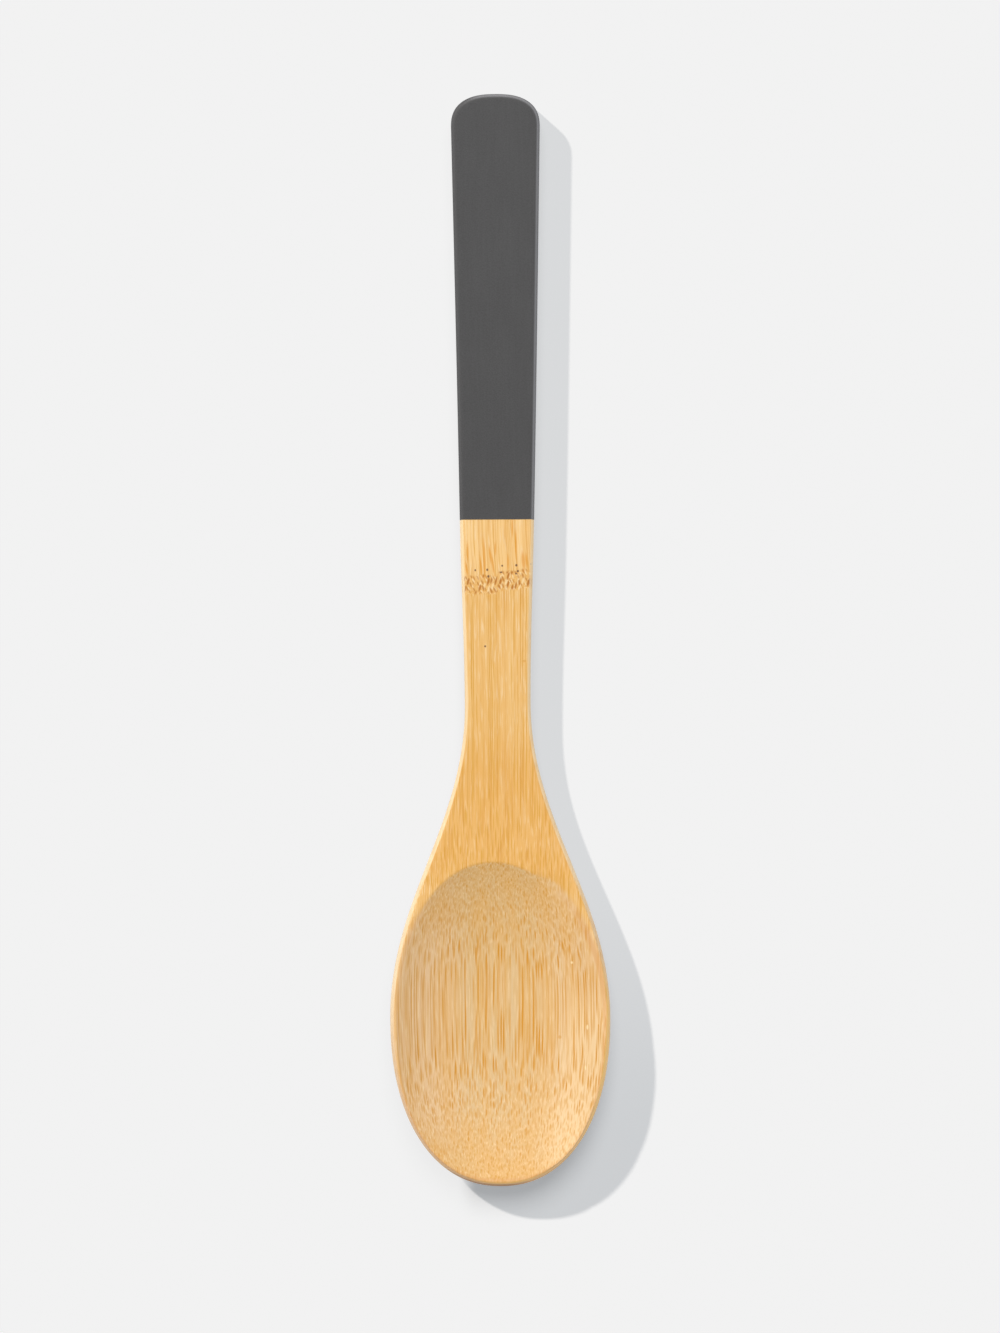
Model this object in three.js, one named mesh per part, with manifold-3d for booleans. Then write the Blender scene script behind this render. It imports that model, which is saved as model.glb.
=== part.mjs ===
// A serving spoon: one carved piece of bamboo, with a matt coat over its grip.
// Millimetres. +Y runs from the bowl's tip to the handle's end, +X across, and Z = 0 is the table.

import * as THREE from "three";
import { mergeVertices } from "three/addons/utils/BufferGeometryUtils.js";
import Module from "manifold-3d";

// Plan outline
const spoonLength = 300;
const bowlWidth = 60.4;
const bowlTipLength = 46.4; // from the widest point of the bowl to its tip
const tipSquareness = 2.2; // 2 is an ellipse, more is squarer
const shoulderLength = 85.8; // from the widest point of the bowl to the waist
const shoulderSweep = 32.5; // how far the shoulder's curve keeps the direction of either end
const waistWidth = 18.1;
const throatLength = 50; // from the waist to where the straight taper begins
const throatWidth = 20.4; // there
const throatSweep = 18;
const gripWidth = 24.4; // where the rounded end begins
const gripEndLength = 9;
const gripEndSquareness = 2.5;

// Side profile of the upper face
const handleThickness = 8.5;
const rimHeight = 12.1; // at the crest of the rim
const rimRiseLead = 17; // from the waist to where the upper face begins to rise
const rimCrestLead = 8.5; // from the widest point to the crest, towards the tip
const rimTipDrop = 1.8;

// Edges and underside
const handleEdgeRadius = 1.4;
const rimBevelWidth = 1.2; // of the rim's outer top edge, in plan
const rimBevelDepth = 2.6;
const rimBevelRoundness = 1.35; // 1 is a straight bevel, 2 a round edge
const bellyEdgeRadius = 1.8; // where the underside's edge runs out under the bowl
const rimWall = 0.6; // upright band under the bevel
const bellyFlatWidth = 6;
const bellyFullness = 1.6; // 1 is a straight flank, 2 an elliptical one
const bellyLead = 10; // from the waist to where the underside begins to curve
const edgeBlend = 4; // how sharply the lower edge gives way to the belly

// Hollow of the bowl
const bowlFloor = 3.4; // wood left under the deepest point
const hollowSideLand = 1.6; // rim left beside the hollow
const hollowTipLand = 1.5;
const hollowShoulderReach = 42.8; // from the widest point to the hollow's edge, towards the handle
const hollowTipSquareness = 2.4; // in plan, towards the tip
const hollowShoulderSquareness = 2; // in plan, towards the handle
const hollowFullness = 2.5; // 2 is a parabola, more has a flatter floor and steeper walls

// Coat on the grip
const coatLength = 117;
const coatThickness = 0.3;
const coatFit = 0.1; // clearance between the coat and the wood it covers

// Fineness of the surfaces
const tipSteps = 20;
const shoulderSteps = 25;
const throatSteps = 6;
const taperSteps = 3;
const gripEndSteps = 10;
const edgeSteps = 4;
const bellySteps = 8;
const hollowRings = 12;
const hollowSpokes = 56;

// Places along the spoon that follow from the sizes
const tipY = -spoonLength / 2;
const endY = spoonLength / 2;
const bowlY = tipY + bowlTipLength;
const waistY = bowlY + shoulderLength;
const throatY = waistY + throatLength;
const gripEndY = endY - gripEndLength;
const riseY = waistY - rimRiseLead;
const crestY = bowlY - rimCrestLead;
const coatY = endY - coatLength;
const clearOfWood = 5; // how far cutting shapes pass the wood

const wasm = await Module();
wasm.setup();

// Half the outline, from the tip to the handle's end, as points of half width against Y.
function halfOutline() {
  const points = [];
  for (let i = 0; i < tipSteps; i++) {
    const [across, outward] = quarterOval((i / tipSteps) * (Math.PI / 2), tipSquareness);
    points.push(new THREE.Vector2((across * bowlWidth) / 2, bowlY - outward * bowlTipLength));
  }
  const widest = new THREE.Vector2(bowlWidth / 2, bowlY);
  const waist = new THREE.Vector2(waistWidth / 2, waistY);
  const throat = new THREE.Vector2(throatWidth / 2, throatY);
  const gripEnd = new THREE.Vector2(gripWidth / 2, gripEndY);
  const along = new THREE.Vector2(0, 1);
  const taper = gripEnd.clone().sub(throat).normalize();
  points.push(...sweep(widest, along, waist, along, shoulderSweep).getPoints(shoulderSteps).slice(0, -1));
  points.push(...sweep(waist, along, throat, taper, throatSweep).getPoints(throatSteps).slice(0, -1));
  points.push(...new THREE.LineCurve(throat, gripEnd).getPoints(taperSteps).slice(0, -1));
  for (let i = gripEndSteps; i >= 0; i--) {
    const [across, outward] = quarterOval((i / gripEndSteps) * (Math.PI / 2), gripEndSquareness);
    points.push(new THREE.Vector2((across * gripWidth) / 2, gripEndY + outward * gripEndLength));
  }
  return points;
}

// An S-curve that leaves one point and reaches another in the given directions.
function sweep(from, leaving, to, arriving, reach) {
  const leave = from.clone().addScaledVector(leaving, reach);
  const arrive = to.clone().addScaledVector(arriving, -reach);
  return new THREE.CubicBezierCurve(from, leave, arrive, to);
}

// A point on a quarter of a squared oval of unit size.
function quarterOval(angle, squareness) {
  const power = 2 / squareness;
  return [Math.sin(angle) ** power, Math.max(0, Math.cos(angle)) ** power];
}

const outline = halfOutline();

// Unit normals of the half outline, pointing out of the wood. Its ends lie on the centreline.
const outlineNormals = outline.map((point, i) => {
  const before = i > 0 ? outline[i - 1] : new THREE.Vector2(-outline[1].x, outline[1].y);
  const beforeEnd = outline[outline.length - 2];
  const after = i < outline.length - 1 ? outline[i + 1] : new THREE.Vector2(-beforeEnd.x, beforeEnd.y);
  return new THREE.Vector2(after.y - before.y, before.x - after.x).normalize();
});

function halfWidthAt(y) {
  const found = outline.findIndex((point) => point.y >= y);
  const next = Math.max(1, found);
  const [low, high] = [outline[next - 1], outline[next]];
  return THREE.MathUtils.mapLinear(y, low.y, high.y, low.x, high.x);
}

// Height of the upper face: level on the handle, a smooth rise to the rim's crest, a drop to the tip.
function topHeight(y) {
  if (y < crestY) return rimHeight - rimTipDrop * ((crestY - y) / (crestY - tipY)) ** 3;
  return handleThickness + (rimHeight - handleThickness) * (1 - THREE.MathUtils.smoothstep(y, crestY, riseY));
}

// 0 along the handle, 1 from the bowl's widest point to its tip.
function bowlShare(y) {
  return 1 - THREE.MathUtils.smoothstep(y, bowlY, waistY - bellyLead);
}

function lowerEdgeRadius(y) {
  return THREE.MathUtils.lerp(handleEdgeRadius, bellyEdgeRadius, bowlShare(y));
}

// The upper edge's width in plan, its depth and its roundness: a round edge on the handle, a bevel on the rim.
function upperEdge(y, inset) {
  const share = bowlShare(y);
  const width = THREE.MathUtils.lerp(handleEdgeRadius, rimBevelWidth, share) - inset;
  const depth = THREE.MathUtils.lerp(handleEdgeRadius, rimBevelDepth, share) - inset;
  return { width, depth, roundness: THREE.MathUtils.lerp(2, rimBevelRoundness, share) };
}

// Half width of the flat that runs along the underside and ends in a half oval under the bowl.
function flatHalfWidthAt(y) {
  if (y >= bowlY) {
    return THREE.MathUtils.lerp(halfWidthAt(y) - handleEdgeRadius, bellyFlatWidth / 2, bowlShare(y));
  }
  const left = (bellyFlatWidth / bowlWidth) ** tipSquareness - ((bowlY - y) / bowlTipLength) ** tipSquareness;
  return (Math.max(0, left) ** (1 / tipSquareness) * bowlWidth) / 2;
}

// How far out a place on the belly lies: 0 at the flat's edge, 1 at the outline.
function outwardShare(x, y) {
  if (y >= bowlY) {
    const flat = flatHalfWidthAt(y);
    return (Math.abs(x) - flat) / (halfWidthAt(y) - flat);
  }
  const across = (2 * Math.abs(x)) / bowlWidth;
  const along = (bowlY - y) / bowlTipLength;
  const radius = (across ** tipSquareness + along ** tipSquareness) ** (1 / tipSquareness);
  const flatShare = bellyFlatWidth / bowlWidth;
  return (radius - flatShare) / (1 - flatShare);
}

// Height of the belly, which curves up from the flat to the wall under the rim.
function bellyHeight(x, y) {
  const wall = bowlShare(y) * (topHeight(y) - rimBevelDepth - rimWall);
  const out = THREE.MathUtils.clamp(outwardShare(x, y), 0, 1);
  return wall * (1 - (1 - out ** bellyFullness) ** (1 / bellyFullness));
}

// Height of the underside, where the rounded lower edge and the belly run into each other.
function underHeight(x, y, inward, radius) {
  const edge = inward < radius ? radius - Math.sqrt(radius ** 2 - (radius - inward) ** 2) : 0;
  return (edge ** edgeBlend + bellyHeight(x, y) ** edgeBlend) ** (1 / edgeBlend);
}

// A closed geometry through rings of as many points each, whose first and last ring have no area.
function loft(rings) {
  const count = rings[0].length;
  const geometry = new THREE.BufferGeometry().setFromPoints(rings.flat());
  const faces = [];
  for (let i = 0; i < rings.length - 1; i++) {
    for (let k = 0; k < count; k++) {
      const next = (k + 1) % count;
      const [a, b] = [i * count + k, (i + 1) * count + k];
      const [c, d] = [(i + 1) * count + next, i * count + next];
      faces.push(a, b, c, a, c, d);
    }
  }
  geometry.setIndex(faces);
  return geometry;
}

// A manifold-3d solid from a closed geometry.
function solid(geometry) {
  const bare = geometry.clone();
  bare.deleteAttribute("normal");
  bare.deleteAttribute("uv");
  const merged = mergeVertices(bare, 1e-4);
  const faces = [];
  for (let i = 0; i < merged.index.count; i += 3) {
    const [a, b, c] = merged.index.array.slice(i, i + 3);
    if (a !== b && b !== c && c !== a) faces.push(a, b, c);
  }
  return new wasm.Manifold(
    new wasm.Mesh({
      numProp: 3,
      vertProperties: merged.attributes.position.array,
      triVerts: new Uint32Array(faces),
    }),
  );
}

// The spoon without its hollow, every face moved in by inset.
function spoonBody(inset) {
  const rings = outline.map((point, i) => {
    const radius = lowerEdgeRadius(point.y) - inset;
    const upper = upperEdge(point.y, inset);
    const normal = outlineNormals[i];
    const within = (inward) => point.clone().addScaledVector(normal, -inset - inward);
    const inner = within(radius);
    const flat = Math.min(flatHalfWidthAt(inner.y), inner.x);
    const right = [new THREE.Vector3(0, inner.y, inset + underHeight(0, inner.y, radius, radius))];
    for (let k = 0; k < bellySteps; k++) {
      const x = THREE.MathUtils.lerp(flat, inner.x, Math.sin((k / bellySteps) * (Math.PI / 2)));
      right.push(new THREE.Vector3(x, inner.y, inset + underHeight(x, inner.y, radius, radius)));
    }
    for (let k = edgeSteps; k >= 0; k--) {
      const inward = radius * (1 - Math.cos((k / edgeSteps) * (Math.PI / 2)));
      const at = within(inward);
      right.push(new THREE.Vector3(at.x, at.y, inset + underHeight(at.x, at.y, inward, radius)));
    }
    for (let k = 0; k <= edgeSteps; k++) {
      const [height, outward] = quarterOval((k / edgeSteps) * (Math.PI / 2), upper.roundness);
      const at = within(upper.width * (1 - outward));
      const fall = upper.depth * (1 - height);
      right.push(new THREE.Vector3(at.x, at.y, topHeight(at.y) - inset - fall));
    }
    const ridge = within(upper.width).y;
    const crown = new THREE.Vector3(0, ridge, topHeight(ridge) - inset);
    const left = right.slice(1).map((p) => new THREE.Vector3(-p.x, p.y, p.z));
    return [...right, crown, ...left.reverse()];
  });
  return solid(loft(rings));
}

// The shape that the gouge takes out: a squared oval in plan, deepest at the bowl's widest point.
function hollowCutter() {
  const depth = topHeight(bowlY) - bowlFloor;
  const halfWidth = bowlWidth / 2 - hollowSideLand;
  const tipReach = bowlTipLength - hollowTipLand;
  const overshoot = 1.08;
  const ringAt = (radius, height) =>
    Array.from({ length: hollowSpokes }, (_, k) => {
      const angle = (-2 * Math.PI * k) / hollowSpokes;
      const [cos, sin] = [Math.cos(angle), Math.sin(angle)];
      const power = 2 / (sin > 0 ? hollowShoulderSquareness : hollowTipSquareness);
      const reach = sin > 0 ? hollowShoulderReach : tipReach;
      const x = radius * halfWidth * Math.sign(cos) * Math.abs(cos) ** power;
      const y = bowlY + radius * reach * Math.sign(sin) * Math.abs(sin) ** power;
      return new THREE.Vector3(x, y, height ?? topHeight(y) - depth * (1 - radius ** hollowFullness));
    });
  const rings = [];
  for (let i = 0; i <= hollowRings; i++) rings.push(ringAt((overshoot * i) / hollowRings));
  const above = rimHeight + clearOfWood;
  rings.push(ringAt(overshoot, above), ringAt(0, above));
  return solid(loft(rings));
}

// Everything from a place along the spoon to past the handle's end.
function gripZone(fromY) {
  const length = endY + clearOfWood - fromY;
  const box = new THREE.BoxGeometry(bowlWidth, length, 2 * handleThickness);
  box.translate(0, fromY + length / 2, handleThickness / 2);
  return solid(box);
}

function geometryOf(made) {
  const mesh = made.getMesh();
  const geometry = new THREE.BufferGeometry();
  geometry.setAttribute("position", new THREE.BufferAttribute(mesh.vertProperties, 3));
  geometry.setIndex(new THREE.BufferAttribute(mesh.triVerts, 1));
  geometry.computeVertexNormals();
  return geometry;
}

// The wood, its grip let in by the coat's thickness so that the two lie flush.
function bambooBlank() {
  const carved = spoonBody(0).subtract(hollowCutter()).subtract(gripZone(coatY));
  const core = spoonBody(coatThickness + coatFit).intersect(gripZone(coatY - clearOfWood));
  const material = new THREE.MeshStandardMaterial({ color: 0xe3b573, roughness: 0.6, metalness: 0 });
  const mesh = new THREE.Mesh(geometryOf(carved.add(core)), material);
  mesh.name = "bamboo_blank";
  return mesh;
}

// A thin skin round the grip and over its end, open at the coat's straight edge.
function handleCoat() {
  const outside = spoonBody(0).intersect(gripZone(coatY + coatFit));
  const material = new THREE.MeshStandardMaterial({ color: 0x575757, roughness: 0.75, metalness: 0 });
  const mesh = new THREE.Mesh(geometryOf(outside.subtract(spoonBody(coatThickness))), material);
  mesh.name = "handle_coat";
  return mesh;
}

const servingSpoon = new THREE.Group();
servingSpoon.add(bambooBlank(), handleCoat());

export default servingSpoon;
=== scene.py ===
import math

import bmesh
import bpy
import numpy as np
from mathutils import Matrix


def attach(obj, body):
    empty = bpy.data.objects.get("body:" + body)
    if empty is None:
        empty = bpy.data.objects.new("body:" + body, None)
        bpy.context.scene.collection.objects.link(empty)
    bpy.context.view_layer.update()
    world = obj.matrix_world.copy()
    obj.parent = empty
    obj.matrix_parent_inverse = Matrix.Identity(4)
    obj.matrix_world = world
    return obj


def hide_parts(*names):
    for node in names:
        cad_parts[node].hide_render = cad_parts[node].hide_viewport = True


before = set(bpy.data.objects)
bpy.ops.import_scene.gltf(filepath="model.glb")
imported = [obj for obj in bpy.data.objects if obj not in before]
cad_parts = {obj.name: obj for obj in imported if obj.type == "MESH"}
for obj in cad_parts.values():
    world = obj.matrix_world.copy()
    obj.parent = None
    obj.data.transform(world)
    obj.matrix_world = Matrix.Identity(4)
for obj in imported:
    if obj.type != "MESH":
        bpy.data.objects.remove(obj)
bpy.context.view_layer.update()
print("frame loaded")

mm = 0.001  # every size below is in millimetres, Y along the spoon, Z up

# The carved form, with the same sizes as the solid parts
spoon = {
    "length": 300.0,
    "bowlWidth": 60.4,
    "bowlTip": 46.4,  # from the widest place to the tip
    "tipPower": 2.2,
    "shoulder": 85.8,
    "shoulderSweep": 32.5,
    "waistWidth": 18.1,
    "throat": 50.0,
    "throatWidth": 20.4,
    "throatSweep": 18.0,
    "gripWidth": 24.4,
    "gripEnd": 9.0,
    "gripEndPower": 2.5,
    "handleThickness": 8.5,
    "rimHeight": 12.1,
    "rimRiseLead": 17.0,
    "rimCrestLead": 8.5,
    "rimTipDrop": 1.8,
    "handleEdge": 1.4,
    "rimEdge": 1.8,
    "rimBevel": 1.2,  # the rim's outer top edge, in plan
    "rimBevelDepth": 2.6,
    "rimBevelPower": 1.35,  # 1 is a straight bevel, 2 a round edge
    "rimWall": 0.6,
    "bellyFlat": 3.0,
    "bellyFullness": 1.6,
    "bellyLead": 10.0,
    "edgeBlend": 4.0,
    "bowlFloor": 3.4,
    "sideLand": 1.6,
    "tipLand": 1.5,
    "hollowReach": 42.8,  # from the widest place towards the handle
    "hollowTipPower": 2.4,
    "hollowShoulderPower": 2.0,
    "hollowFullness": 2.5,
    "hollowLean": 1.9,  # the gouge ran off to the left by this much at the hollow's upper end
    "hollowSoftness": 0.17,
    "leftSoftness": 0.7,  # the hollow's edge is sanded rounder beside the shoulder
    "rightSoftness": 2.6,
    "bow": 0.25,  # the neck leans sideways by this much
    "bowAt": -2.0,
    "bowSpread": 52.0,
    "softFoot": (-112, -98),  # where the soft edges begin, along the spoon
    "rightSoft": ((6, 15), (-68, -60)),  # where they begin across it, and end along it
    "leftSoft": ((8, 16), (-78, -68)),
}

# How finely the surfaces are divided
fineness = {
    "bowlStep": 0.75,
    "handleStep": 1.6,
    "endStep": 0.6,
    "gate": -55.0,  # where the bowl's rays give way to the handle's rows
    "columns": 28,
    "edgeRings": 12,
    "wallRows": 3,
    "hollowRings": 38,
    "landRings": 12,
    "bellyRings": 40,
    "weld": 0.001,
    "curvePoints": 600,
    "ovalPoints": 900,
    "hollowRingsTo": 0.955,  # 1 is the hollow's rim
    "rimRings": [0.972, 0.984, 0.992, 1.0],
    "crowding": 1.2,  # how much closer the land's rings lie at the rim
    "crowdingFrom": 0.35,
    "crowdingOver": 8,
    "landLeast": 0.2,
    "sharpFrom": 50,  # degrees
}

tipY = -spoon["length"] / 2
bowlY = tipY + spoon["bowlTip"]
waistY = bowlY + spoon["shoulder"]
throatY = waistY + spoon["throat"]
endY = spoon["length"] / 2
gripEndY = endY - spoon["gripEnd"]
bowlHalf = spoon["bowlWidth"] / 2
riseY = waistY - spoon["rimRiseLead"]
crestY = bowlY - spoon["rimCrestLead"]
hollowMiddle = np.array([0.0, bowlY])


def lerp(a, b, t):
    return a + (b - a) * t


def smoothStep(value, low, high):
    t = np.clip((value - low) / (high - low), 0, 1)
    return t * t * (3 - 2 * t)


def quarterOval(angle, power):
    across = np.sin(angle).clip(0) ** (2 / power)
    outward = np.cos(angle).clip(0) ** (2 / power)
    return across, outward


def sweep(a, b, c, d):
    t = np.linspace(0, 1, fineness["curvePoints"])[:, None]
    a, b, c, d = (np.array(p, float) for p in (a, b, c, d))
    return a * (1 - t) ** 3 + 3 * b * t * (1 - t) ** 2 + 3 * c * t * t * (1 - t) + d * t**3


def sideLine():
    # right side of the plan, from the tip to the end of the grip
    angle = np.linspace(0, math.pi / 2, fineness["ovalPoints"])
    across, outward = quarterOval(angle, spoon["tipPower"])
    tip = np.stack([bowlHalf * across, bowlY - spoon["bowlTip"] * outward], 1)
    waist, throat, grip = (spoon[k] / 2 for k in ("waistWidth", "throatWidth", "gripWidth"))
    shoulder = sweep(
        (bowlHalf, bowlY),
        (bowlHalf, bowlY + spoon["shoulderSweep"]),
        (waist, waistY - spoon["shoulderSweep"]),
        (waist, waistY),
    )
    taper = np.array([grip - throat, gripEndY - throatY])
    taper /= np.hypot(*taper)
    lean = np.array([throat, throatY]) - spoon["throatSweep"] * taper
    neck = sweep((waist, waistY), (waist, waistY + spoon["throatSweep"]), lean, (throat, throatY))
    across, outward = quarterOval(angle[::-1], spoon["gripEndPower"])
    end = np.stack([grip * across, gripEndY + spoon["gripEnd"] * outward], 1)
    return np.concatenate([tip, shoulder[1:], neck[1:], end])


sidePoints = sideLine()
sideRun = np.concatenate([[0], np.cumsum(np.hypot(*np.diff(sidePoints, axis=0).T))])


def along(run):
    return np.stack([np.interp(run, sideRun, sidePoints[:, k]) for k in (0, 1)], 1)


def sideDirection(run):
    # outward direction in the plan at each place along the side line
    reach = 0.05
    forward = along(run + reach) - along(run - reach)
    forward /= np.hypot(forward[:, 0], forward[:, 1])[:, None]
    out = np.stack([forward[:, 1], -forward[:, 0]], 1)
    out[run <= 0] = (0, -1)
    out[run >= sideRun[-1]] = (0, 1)
    return out


def stations(fromY, toY, step):
    start, stop = np.interp([fromY, toY], sidePoints[:, 1], sideRun)
    return np.linspace(start, stop, max(2, int(math.ceil((stop - start) / step)) + 1))


def bowlShare(y):
    return 1 - smoothStep(y, bowlY, waistY - spoon["bellyLead"])


def halfWidth(y):
    return np.interp(y, sidePoints[:, 1], sidePoints[:, 0])


def topHeight(y):
    rise = (spoon["rimHeight"] - spoon["handleThickness"]) * (1 - smoothStep(y, crestY, riseY))
    drop = spoon["rimTipDrop"] * ((crestY - y).clip(0) / (crestY - tipY)) ** 3
    return spoon["handleThickness"] + rise - drop


def edgeRadius(y):
    return lerp(spoon["handleEdge"], spoon["rimEdge"], bowlShare(y))


def edgeDrop(inward, radius):
    gap = (radius - inward).clip(0)
    return radius - np.sqrt((radius**2 - gap**2).clip(0))


def bevelWidth(y):
    return lerp(spoon["handleEdge"], spoon["rimBevel"], bowlShare(y))


def bevelDrop(inward, y, inset):
    # the upper edge: round on the handle, steep with a crisp top on the rim
    share = bowlShare(y)
    width = bevelWidth(y) - inset
    depth = lerp(spoon["handleEdge"], spoon["rimBevelDepth"], share) - inset
    power = lerp(2.0, spoon["rimBevelPower"], share)
    gap = np.clip(1 - inward / width, 0, 1)
    return depth * (1 - (1 - gap**power) ** (1 / power))


def noseMeasure(x, y):
    power = spoon["tipPower"]
    ahead = (bowlY - y).clip(0) / spoon["bowlTip"]
    return (np.abs(x / bowlHalf) ** power + ahead**power) ** (1 / power)


def bellyHeight(x, y):
    share = bowlShare(y)
    wide = halfWidth(y)
    flat = lerp(wide - spoon["handleEdge"], spoon["bellyFlat"], share)
    core = spoon["bellyFlat"] / bowlHalf
    rows = (np.abs(x) - flat) / np.maximum(wide - flat, 1e-6)
    nose = (noseMeasure(x, y) - core) / (1 - core)
    out = np.where(y >= bowlY, rows, nose).clip(0, 1)
    full = spoon["bellyFullness"]
    depth = topHeight(y) - spoon["rimBevelDepth"] - spoon["rimWall"]
    return share * depth * (1 - (1 - out**full) ** (1 / full))


def setStraight(offset, way=1):
    # takes out the hollow's lean, or puts it back
    straight = offset.copy()
    straight[..., 0] += way * spoon["hollowLean"] * (offset[..., 1].clip(0) / spoon["hollowReach"]) ** 2
    return straight


def hollowMeasure(offset):
    # 0 at the deepest place, 1 on the hollow's rim
    upper = offset[..., 1] > 0
    reach = np.where(upper, spoon["hollowReach"], spoon["bowlTip"] - spoon["tipLand"])
    power = np.where(upper, spoon["hollowShoulderPower"], spoon["hollowTipPower"])
    across = np.abs(offset[..., 0] / (bowlHalf - spoon["sideLand"]))
    return (across**power + np.abs(offset[..., 1] / reach) ** power) ** (1 / power)


def hollowSoftness(plan):
    x, y = plan[..., 0], plan[..., 1]
    foot = smoothStep(y, *spoon["softFoot"])
    right, left = (
        smoothStep(away, *across) * foot * (1 - smoothStep(y, *end))
        for away, (across, end) in ((x, spoon["rightSoft"]), (-x, spoon["leftSoft"]))
    )
    soft = lerp(spoon["hollowSoftness"], spoon["rightSoftness"], right)
    return lerp(soft, spoon["leftSoftness"], left)


def upperHeight(plan, inward, inset):
    top = topHeight(plan[..., 1])
    rim = top - inset - bevelDrop(inward, plan[..., 1], inset)
    depth = topHeight(np.array(bowlY)) - spoon["bowlFloor"]
    measure = hollowMeasure(setStraight(plan - hollowMiddle))
    hollow = top - depth * (1 - measure ** spoon["hollowFullness"])
    soft = hollowSoftness(plan)
    mix = np.clip(0.5 + 0.5 * (hollow - rim) / soft, 0, 1)
    return lerp(hollow, rim, mix) - soft * mix * (1 - mix)


def underHeight(plan, inward, inset):
    power = spoon["edgeBlend"]
    edge = edgeDrop(inward, edgeRadius(plan[..., 1]) - inset)
    belly = bellyHeight(plan[..., 0], plan[..., 1])
    return inset + (edge**power + belly**power) ** (1 / power)


def lift(plan, height):
    return np.concatenate([plan, height[..., None]], -1)


def bothSides(half, flip=False):
    # the right half of a loop, then the same places on the left, back to the start
    left = half[-2::-1].copy()  # without the last one, which is there already
    if flip:
        left[:, 0] *= -1
    return np.concatenate([half, left])


def hollowPlan(targets):
    # places on the way from the hollow's middle to each target, closest together at the rim
    offset = setStraight(targets - hollowMiddle)
    rim = 1 / hollowMeasure(offset)
    inside = np.linspace(0, fineness["hollowRingsTo"], fineness["hollowRings"])
    inside = np.concatenate([inside, fineness["rimRings"]])
    land = np.hypot(offset[:, 0], offset[:, 1]) * (1 - rim)
    wide = np.clip((land - fineness["crowdingFrom"]) / fineness["crowdingOver"], 0, 1)
    crowding = 1 + fineness["crowding"] * wide
    steps = np.linspace(0, 1, fineness["landRings"] + 1)[1:]
    outside = rim + (1 - rim) * steps[:, None] ** crowding
    rays = np.concatenate([inside[:, None] * rim, outside])
    return hollowMiddle + setStraight(rays[..., None] * offset, -1)


def shell(run, inset):
    # grids of points over the outside of the spoon, from the first station to the end of the grip
    half = along(run) - sideDirection(run) * inset[:, None]
    loop = bothSides(half, True)
    out = bothSides(sideDirection(run), True)
    inset = bothSides(inset)
    radius = edgeRadius(loop[:, 1]) - inset
    last = len(loop) - 1
    offset = setStraight(loop - hollowMiddle)
    land = np.hypot(offset[:, 0], offset[:, 1]) * (1 - 1 / hollowMeasure(offset))
    bevel = bevelWidth(loop[:, 1]) - inset
    narrowed = np.minimum(bevel, land - fineness["landLeast"])
    reach = np.where(loop[:, 1] < fineness["gate"], narrowed, bevel)

    turn = 1 - np.cos(np.linspace(0, math.pi / 2, fineness["edgeRings"]))

    def band(depth, height):
        inward = depth[:, None] * turn
        plan = loop[:, None] - out[:, None] * inward[..., None]
        return lift(plan, height(plan, inward, inset[:, None]))

    above, below = band(reach, upperHeight), band(radius, underHeight)
    wall = np.linspace(0, 1, fineness["wallRows"] + 1)[1:-1, None]
    wall = above[:, :1] + (below[:, :1] - above[:, :1]) * wall
    side = np.concatenate([above[:, ::-1], wall, below], 1)
    grids = [side]

    rowY = half[:, 1]
    gate = int(np.argmin(np.abs(rowY - fineness["gate"]))) if rowY[0] < fineness["gate"] else 0
    finish = int(np.argmin(np.abs(along(run)[:, 1] - gripEndY)))
    share = np.linspace(1, -1, fineness["columns"] + 1)
    section = []
    faces = ((upperHeight, above[:, -1, :2], reach), (underHeight, below[:, -1, :2], radius))
    for height, edge, depth in faces:
        rows = slice(gate, finish + 1)
        plan = np.stack(
            [edge[rows, :1] * share, np.repeat(edge[rows, 1:], len(share), 1)], -1
        )
        away = depth[rows, None] + edge[rows, :1] * (1 - np.abs(share))
        field = lift(plan, height(plan, away, inset[rows, None]))
        grids.append(field)
        section.append(field[0])

        fan = slice(finish, last - finish + 1)
        pole = np.array([0, edge[finish, 1]])
        spokes = share[: fineness["columns"] // 2 + 1][::-1, None, None]
        plan = pole + spokes * (edge[fan] - pole)
        away = depth[fan] + np.linalg.norm(edge[fan] - plan, axis=-1)
        grids.append(lift(plan, height(plan, away, inset[fan])))

        if gate:
            inner = np.stack([edge[gate, 0] * share, np.full(len(share), edge[gate, 1])], 1)[1:-1]
            targets = np.concatenate([edge[: gate + 1], inner, edge[last - gate :]])
            middle = depth[gate] + edge[gate, 0] * (1 - np.abs(share[1:-1]))
            start = np.concatenate([depth[: gate + 1], middle, depth[last - gate :]])
            if height is upperHeight:
                plan = hollowPlan(targets)
            else:
                rings = np.sin(np.linspace(0, math.pi / 2, fineness["bellyRings"]))
                plan = hollowMiddle + rings[:, None, None] * (targets - hollowMiddle)
            away = start + np.linalg.norm(targets - plan, axis=-1)
            grids.append(lift(plan, height(plan, away, 0.0)))

    # the cut across the first row, as one loop
    opening = np.concatenate([section[0], side[last], section[1][::-1], side[0][::-1]])
    return grids, opening


def bowed(points):
    # the sideways lean of the neck
    shift = spoon["bow"] * np.exp(-(((points[..., 1] - spoon["bowAt"]) / spoon["bowSpread"]) ** 2))
    points[..., 0] -= shift
    return points


def addObject(name, data):
    item = bpy.data.objects.new(name, data)
    bpy.context.scene.collection.objects.link(item)
    return item


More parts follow.
